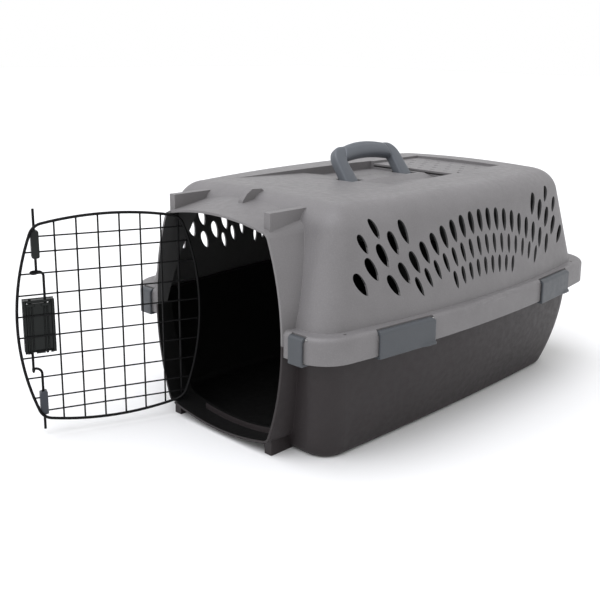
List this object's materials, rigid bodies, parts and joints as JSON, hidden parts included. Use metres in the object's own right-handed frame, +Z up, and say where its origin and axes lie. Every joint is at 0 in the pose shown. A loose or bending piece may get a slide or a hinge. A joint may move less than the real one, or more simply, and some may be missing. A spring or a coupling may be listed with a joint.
{
  "type": "pet transport carrier",
  "caption": "Two moulded half shells clipped at a rim form a vented cabin with a sprung wire door that hinges at one end and a swinging carrying handle on the roof.",
  "frame": {"origin": "centre of the footprint on the floor", "axes": "the door end faces -Y, +Z is up, the door hinges on the -X side"},
  "size_m": [0.4268, 0.7898, 0.3532],
  "materials": {
    "upper_shell_plastic": "fine grained",
    "lower_shell_plastic": "fine grained",
    "clip_plastic": "fine grained",
    "handle_plastic": "fine grained",
    "latch_plastic": "satin",
    "dark_sleeve_plastic": "satin",
    "pale_sleeve_plastic": "satin",
    "coated_wire": "smooth dark coating",
    "spring_steel": "bright",
    "pin_steel": "bright"
  },
  "bodies": {
    "carrier": {"upper_shell": "upper_shell_plastic", "lower_shell": "lower_shell_plastic", "near_middle_clip_pin": "pin_steel", "near_rear_clip_pin": "pin_steel", "near_front_clip_pin": "pin_steel", "far_middle_clip_pin": "pin_steel", "far_rear_clip_pin": "pin_steel", "far_front_clip_pin": "pin_steel", "front_handle_pin": "pin_steel", "rear_handle_pin": "pin_steel"},
    "door": {"door_frame_wire": "coated_wire", "cross_wire_1": "coated_wire", "cross_wire_2": "coated_wire", "cross_wire_3": "coated_wire", "cross_wire_4": "coated_wire", "cross_wire_5": "coated_wire", "cross_wire_6": "coated_wire", "cross_wire_7": "coated_wire", "cross_wire_8": "coated_wire", "cross_wire_9": "coated_wire", "cross_wire_10": "coated_wire", "upright_wire_1": "coated_wire", "upright_wire_2": "coated_wire", "upright_wire_3": "coated_wire", "upright_wire_4": "coated_wire", "upright_wire_5": "coated_wire", "upright_wire_6": "coated_wire", "hinge_rod": "coated_wire", "latch_housing": "latch_plastic", "latch_cover": "latch_plastic", "upper_latch_spring": "spring_steel", "lower_latch_spring": "spring_steel", "upper_rod_sleeve": "dark_sleeve_plastic", "lower_rod_sleeve": "pale_sleeve_plastic"},
    "upper_latch": {"upper_latch_rod": "coated_wire", "upper_squeeze_tab": "latch_plastic"},
    "lower_latch": {"lower_latch_rod": "coated_wire", "lower_squeeze_tab": "latch_plastic"},
    "handle": {"handle_frame": "handle_plastic", "handle_grip": "handle_plastic"},
    "near_middle_clip": {"near_middle_clip": "clip_plastic"},
    "near_rear_clip": {"near_rear_clip": "clip_plastic"},
    "near_front_clip": {"near_front_clip": "clip_plastic"},
    "far_middle_clip": {"far_middle_clip": "clip_plastic"},
    "far_rear_clip": {"far_rear_clip": "clip_plastic"},
    "far_front_clip": {"far_front_clip": "clip_plastic"}
  },
  "joints": [
    {"name": "door_hinge", "type": "hinge", "parent": "carrier", "child": "door", "pos_m": [-0.0884, -0.2925, 0.147], "axis": [0, 0, 1], "range_deg": [0, 112]},
    {"name": "upper_latch_slide", "type": "slide", "parent": "door", "child": "upper_latch", "axis": [0, 0, -1], "range_m": [0, 0.016], "stiffness_N_per_m": 250, "springref_m": -0.008, "deforming": ["upper_latch_spring"]},
    {"name": "lower_latch_slide", "type": "slide", "parent": "door", "child": "lower_latch", "axis": [0, 0, 1], "range_m": [0, 0.015], "stiffness_N_per_m": 250, "springref_m": -0.008, "deforming": ["lower_latch_spring"]},
    {"name": "handle_hinge", "type": "hinge", "parent": "carrier", "child": "handle", "pos_m": [0, 0, 0.297], "axis": [0, 1, 0], "range_deg": [0, 74]},
    {"name": "near_middle_clip_hinge", "type": "hinge", "parent": "carrier", "child": "near_middle_clip", "pos_m": [0.19889, -0.17774, 0.1624], "axis": [-0.1077, -0.9942, 0], "range_deg": [0, 100]},
    {"name": "near_rear_clip_hinge", "type": "hinge", "parent": "carrier", "child": "near_rear_clip", "pos_m": [0.20417, 0.16082, 0.1624], "axis": [0.0769, -0.997, 0], "range_deg": [0, 100]},
    {"name": "near_front_clip_hinge", "type": "hinge", "parent": "carrier", "child": "near_front_clip", "pos_m": [0.1425, -0.3026, 0.1624], "axis": [-1, 0, 0], "range_deg": [0, 100]},
    {"name": "far_middle_clip_hinge", "type": "hinge", "parent": "carrier", "child": "far_middle_clip", "pos_m": [-0.19889, -0.17774, 0.1624], "axis": [-0.1077, 0.9942, 0], "range_deg": [0, 100]},
    {"name": "far_rear_clip_hinge", "type": "hinge", "parent": "carrier", "child": "far_rear_clip", "pos_m": [-0.20417, 0.16082, 0.1624], "axis": [0.0769, 0.997, 0], "range_deg": [0, 100]},
    {"name": "far_front_clip_hinge", "type": "hinge", "parent": "carrier", "child": "far_front_clip", "pos_m": [-0.1425, -0.3026, 0.1624], "axis": [-1, 0, 0], "range_deg": [0, 100]}
  ]
}
